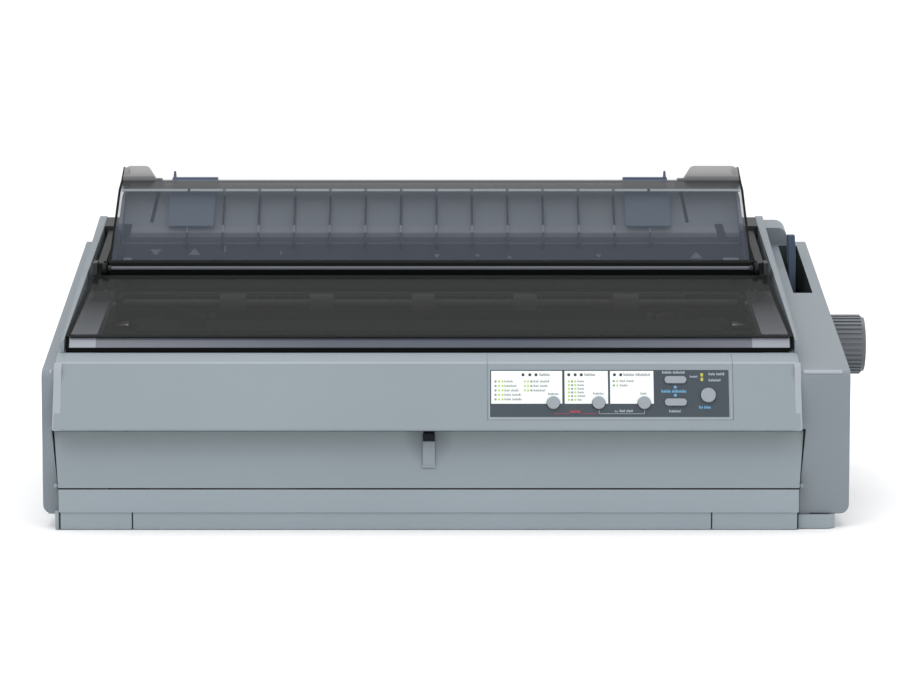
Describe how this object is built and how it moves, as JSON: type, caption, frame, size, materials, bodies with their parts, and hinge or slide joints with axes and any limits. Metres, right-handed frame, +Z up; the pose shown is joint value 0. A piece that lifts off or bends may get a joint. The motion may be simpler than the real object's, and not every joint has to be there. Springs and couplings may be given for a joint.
{
  "type": "dot matrix printer",
  "caption": "Wide-carriage impact printer with a smoked hinged cover, a leaning paper guide behind its own cover, a drop-down front door and a platen knob",
  "frame": {"origin": "centre of the footprint at the height of the table", "axes": "+X along the platen towards the knob, +Y from the front to the back, +Z up"},
  "size_m": [0.639, 0.402, 0.2551],
  "materials": {
    "case_plastic": "fine texture",
    "smoke_plastic": "glossy smoked",
    "guide_plastic": "satin",
    "dark_plastic": "satin",
    "blue_plastic": "satin",
    "label_film": "printed film",
    "key_plastic": "satin",
    "circuit_board": "solder mask",
    "steel": "plated",
    "rubber": "matte",
    "motor_metal": "satin",
    "white_gear": "satin",
    "brass_gear": "machined",
    "belt_rubber": "matte"
  },
  "bodies": {
    "case": {"lower_case": "case_plastic", "upper_case": "case_plastic", "panel_bezel": "case_plastic", "panel_label": "label_film", "panel_board": "circuit_board", "rubber_feet": "rubber", "hinge_bracket_left": "dark_plastic", "hinge_bracket_right": "dark_plastic", "side_frame_left": "steel", "side_frame_right": "steel", "rear_panel": "case_plastic", "carriage_shaft": "steel", "carriage_rail": "steel", "timing_belt": "belt_rubber", "carriage_motor": "motor_metal", "feed_motor": "motor_metal", "ribbon_cartridge": "dark_plastic", "paper_chute": "dark_plastic", "tractor_guide_shaft": "steel", "power_supply": "motor_metal", "main_board": "circuit_board", "ac_inlet": "dark_plastic", "data_ports": "steel", "slot_cover": "case_plastic"},
    "front_cover_lid": {"printer_cover": "smoke_plastic"},
    "guide": {"paper_guide": "guide_plastic"},
    "guide_lid": {"guide_cover": "smoke_plastic"},
    "edge_left": {"edge_guide_left": "blue_plastic"},
    "edge_right": {"edge_guide_right": "blue_plastic"},
    "release": {"release_lever": "blue_plastic"},
    "platen": {"platen_shaft": "steel", "platen_roller": "rubber", "platen_gear": "white_gear", "platen_knob": "dark_plastic"},
    "idler": {"idler_gear": "white_gear"},
    "pinion": {"feed_pinion": "brass_gear"},
    "carriage": {"carriage_frame": "dark_plastic", "print_head": "motor_metal"},
    "drive": {"drive_pulley": "steel"},
    "idle": {"tension_pulley": "steel"},
    "tension": {"tension_unit": "dark_plastic"},
    "tension_roll": {"tension_rollers": "rubber"},
    "thickness": {"thickness_lever": "dark_plastic"},
    "tractor_shaft": {"tractor_drive": "steel"},
    "tractor_l": {"tractor_left": "dark_plastic"},
    "tractor_r": {"tractor_right": "dark_plastic"},
    "sprocket_l": {"sprocket_left": "white_gear"},
    "sprocket_r": {"sprocket_right": "white_gear"},
    "door_l": {"tractor_door_left": "dark_plastic"},
    "door_r": {"tractor_door_right": "dark_plastic"},
    "front_door": {"front_cover": "case_plastic"},
    "latch": {"front_latch": "case_plastic"},
    "power": {"power_rocker": "dark_plastic"},
    "ribbon_turn": {"ribbon_knob": "dark_plastic"},
    "key_font": {"button_font": "key_plastic"},
    "key_pitch": {"button_pitch": "key_plastic"},
    "key_tear": {"button_tear": "key_plastic"},
    "key_load": {"button_load": "key_plastic"},
    "key_feed": {"button_feed": "key_plastic"},
    "key_pause": {"button_pause": "key_plastic"}
  },
  "joints": [
    {"name": "printer_cover_lift", "type": "hinge", "parent": "case", "child": "front_cover_lid", "pos_m": [-0.0285, -0.001, 0.1798], "axis": [-1, 0, 0], "range_deg": [0, 100]},
    {"name": "paper_guide_tilt", "type": "hinge", "parent": "case", "child": "guide", "pos_m": [-0.0285, -0.001, 0.1798], "axis": [-1, 0, 0], "range_deg": [0, 10]},
    {"name": "guide_cover_lift", "type": "hinge", "parent": "case", "child": "guide_lid", "pos_m": [-0.0285, -0.001, 0.1798], "axis": [1, 0, 0], "range_deg": [0, 35]},
    {"name": "edge_guide_left_slide", "type": "slide", "parent": "guide", "child": "edge_left", "axis": [1, 0, 0], "range_m": [-0.003, 0.15]},
    {"name": "edge_guide_right_slide", "type": "slide", "parent": "guide", "child": "edge_right", "axis": [1, 0, 0], "range_m": [-0.15, 0.003]},
    {"name": "release_lever_swing", "type": "hinge", "parent": "case", "child": "release", "pos_m": [0.269, 0.061, 0.1118], "axis": [1, 0, 0], "range_deg": [0, 36]},
    {"name": "platen_turn", "type": "hinge", "parent": "case", "child": "platen", "pos_m": [-0.016, -0.001, 0.1188], "axis": [1, 0, 0], "continuous": true},
    {"name": "idler_turn", "type": "hinge", "parent": "case", "child": "idler", "pos_m": [0.248, 0.02311, 0.09007], "axis": [1, 0, 0], "continuous": true},
    {"name": "feed_pinion_turn", "type": "hinge", "parent": "case", "child": "pinion", "pos_m": [0.248, 0.03131, 0.06752], "axis": [1, 0, 0], "continuous": true},
    {"name": "carriage_travel", "type": "slide", "parent": "case", "child": "carriage", "axis": [1, 0, 0], "range_m": [0, 0.345]},
    {"name": "drive_pulley_turn", "type": "hinge", "parent": "case", "child": "drive", "pos_m": [-0.264, -0.091, 0.0818], "axis": [0, 0, 1], "range_deg": [-1676.17, 0]},
    {"name": "tension_pulley_turn", "type": "hinge", "parent": "case", "child": "idle", "pos_m": [0.21, -0.091, 0.0818], "axis": [0, 0, 1], "range_deg": [-1676.17, 0]},
    {"name": "tension_unit_tilt", "type": "hinge", "parent": "case", "child": "tension", "pos_m": [-0.0285, 0.013, 0.1488], "axis": [-1, 0, 0], "range_deg": [0, 10]},
    {"name": "tension_rollers_turn", "type": "hinge", "parent": "tension", "child": "tension_roll", "pos_m": [-0.0285, -0.005, 0.1528], "axis": [1, 0, 0], "continuous": true},
    {"name": "thickness_lever_swing", "type": "hinge", "parent": "case", "child": "thickness", "pos_m": [-0.293, -0.075, 0.1058], "axis": [1, 0, 0], "range_deg": [-8, 16]},
    {"name": "tractor_shaft_turn", "type": "hinge", "parent": "case", "child": "tractor_shaft", "pos_m": [-0.0285, 0.117, 0.1198], "axis": [1, 0, 0], "continuous": true},
    {"name": "tractor_left_slide", "type": "slide", "parent": "case", "child": "tractor_l", "axis": [1, 0, 0], "range_m": [-0.01, 0.09]},
    {"name": "tractor_right_slide", "type": "slide", "parent": "case", "child": "tractor_r", "axis": [1, 0, 0], "range_m": [-0.09, 0.01]},
    {"name": "sprocket_left_turn", "type": "hinge", "parent": "tractor_l", "child": "sprocket_l", "pos_m": [-0.225, 0.117, 0.1198], "axis": [1, 0, 0], "continuous": true},
    {"name": "sprocket_right_turn", "type": "hinge", "parent": "tractor_r", "child": "sprocket_r", "pos_m": [0.168, 0.117, 0.1198], "axis": [1, 0, 0], "continuous": true},
    {"name": "tractor_door_left_open", "type": "hinge", "parent": "tractor_l", "child": "door_l", "pos_m": [-0.237, 0.123, 0.1383], "axis": [0, -1, 0], "range_deg": [0, 95]},
    {"name": "tractor_door_right_open", "type": "hinge", "parent": "tractor_r", "child": "door_r", "pos_m": [0.18, 0.123, 0.1383], "axis": [0, 1, 0], "range_deg": [0, 95]},
    {"name": "front_door_drop", "type": "hinge", "parent": "case", "child": "front_door", "pos_m": [-0.029, -0.1939, 0.0335], "axis": [1, 0, 0], "range_deg": [0, 95]},
    {"name": "front_latch_slide", "type": "slide", "parent": "front_door", "child": "latch", "axis": [0, -0.3464, -0.9381], "range_m": [0, 0.0016], "stiffness_N_per_m": 400},
    {"name": "power_rocker_tilt", "type": "hinge", "parent": "case", "child": "power", "pos_m": [-0.3135, -0.131, 0.0638], "axis": [0, 0, 1], "range_deg": [-3, 3]},
    {"name": "ribbon_knob_turn", "type": "hinge", "parent": "case", "child": "ribbon_turn", "pos_m": [-0.212, -0.089, 0.1468], "axis": [0, 0, -1], "continuous": true},
    {"name": "button_font_press", "type": "slide", "parent": "case", "child": "key_font", "axis": [0, 0.9253, -0.3792], "range_m": [0, 0.0008], "stiffness_N_per_m": 300},
    {"name": "button_pitch_press", "type": "slide", "parent": "case", "child": "key_pitch", "axis": [0, 0.9253, -0.3792], "range_m": [0, 0.0008], "stiffness_N_per_m": 300},
    {"name": "button_tear_press", "type": "slide", "parent": "case", "child": "key_tear", "axis": [0, 0.9253, -0.3792], "range_m": [0, 0.0008], "stiffness_N_per_m": 300},
    {"name": "button_load_press", "type": "slide", "parent": "case", "child": "key_load", "axis": [0, 0.9253, -0.3792], "range_m": [0, 0.0008], "stiffness_N_per_m": 300},
    {"name": "button_feed_press", "type": "slide", "parent": "case", "child": "key_feed", "axis": [0, 0.9253, -0.3792], "range_m": [0, 0.0008], "stiffness_N_per_m": 300},
    {"name": "button_pause_press", "type": "slide", "parent": "case", "child": "key_pause", "axis": [0, 0.9253, -0.3792], "range_m": [0, 0.0008], "stiffness_N_per_m": 300}
  ],
  "couplings": [
    {"joint": "idler_turn", "follows": "platen_turn", "ratio": -1.5},
    {"joint": "feed_pinion_turn", "follows": "platen_turn", "ratio": 2.5},
    {"joint": "tractor_shaft_turn", "follows": "platen_turn", "ratio": -1.25},
    {"joint": "sprocket_left_turn", "follows": "platen_turn", "ratio": -1.25},
    {"joint": "sprocket_right_turn", "follows": "platen_turn", "ratio": -1.25},
    {"joint": "drive_pulley_turn", "follows": "carriage_travel", "rad_per_m": -84.746},
    {"joint": "tension_pulley_turn", "follows": "carriage_travel", "rad_per_m": -84.746}
  ]
}
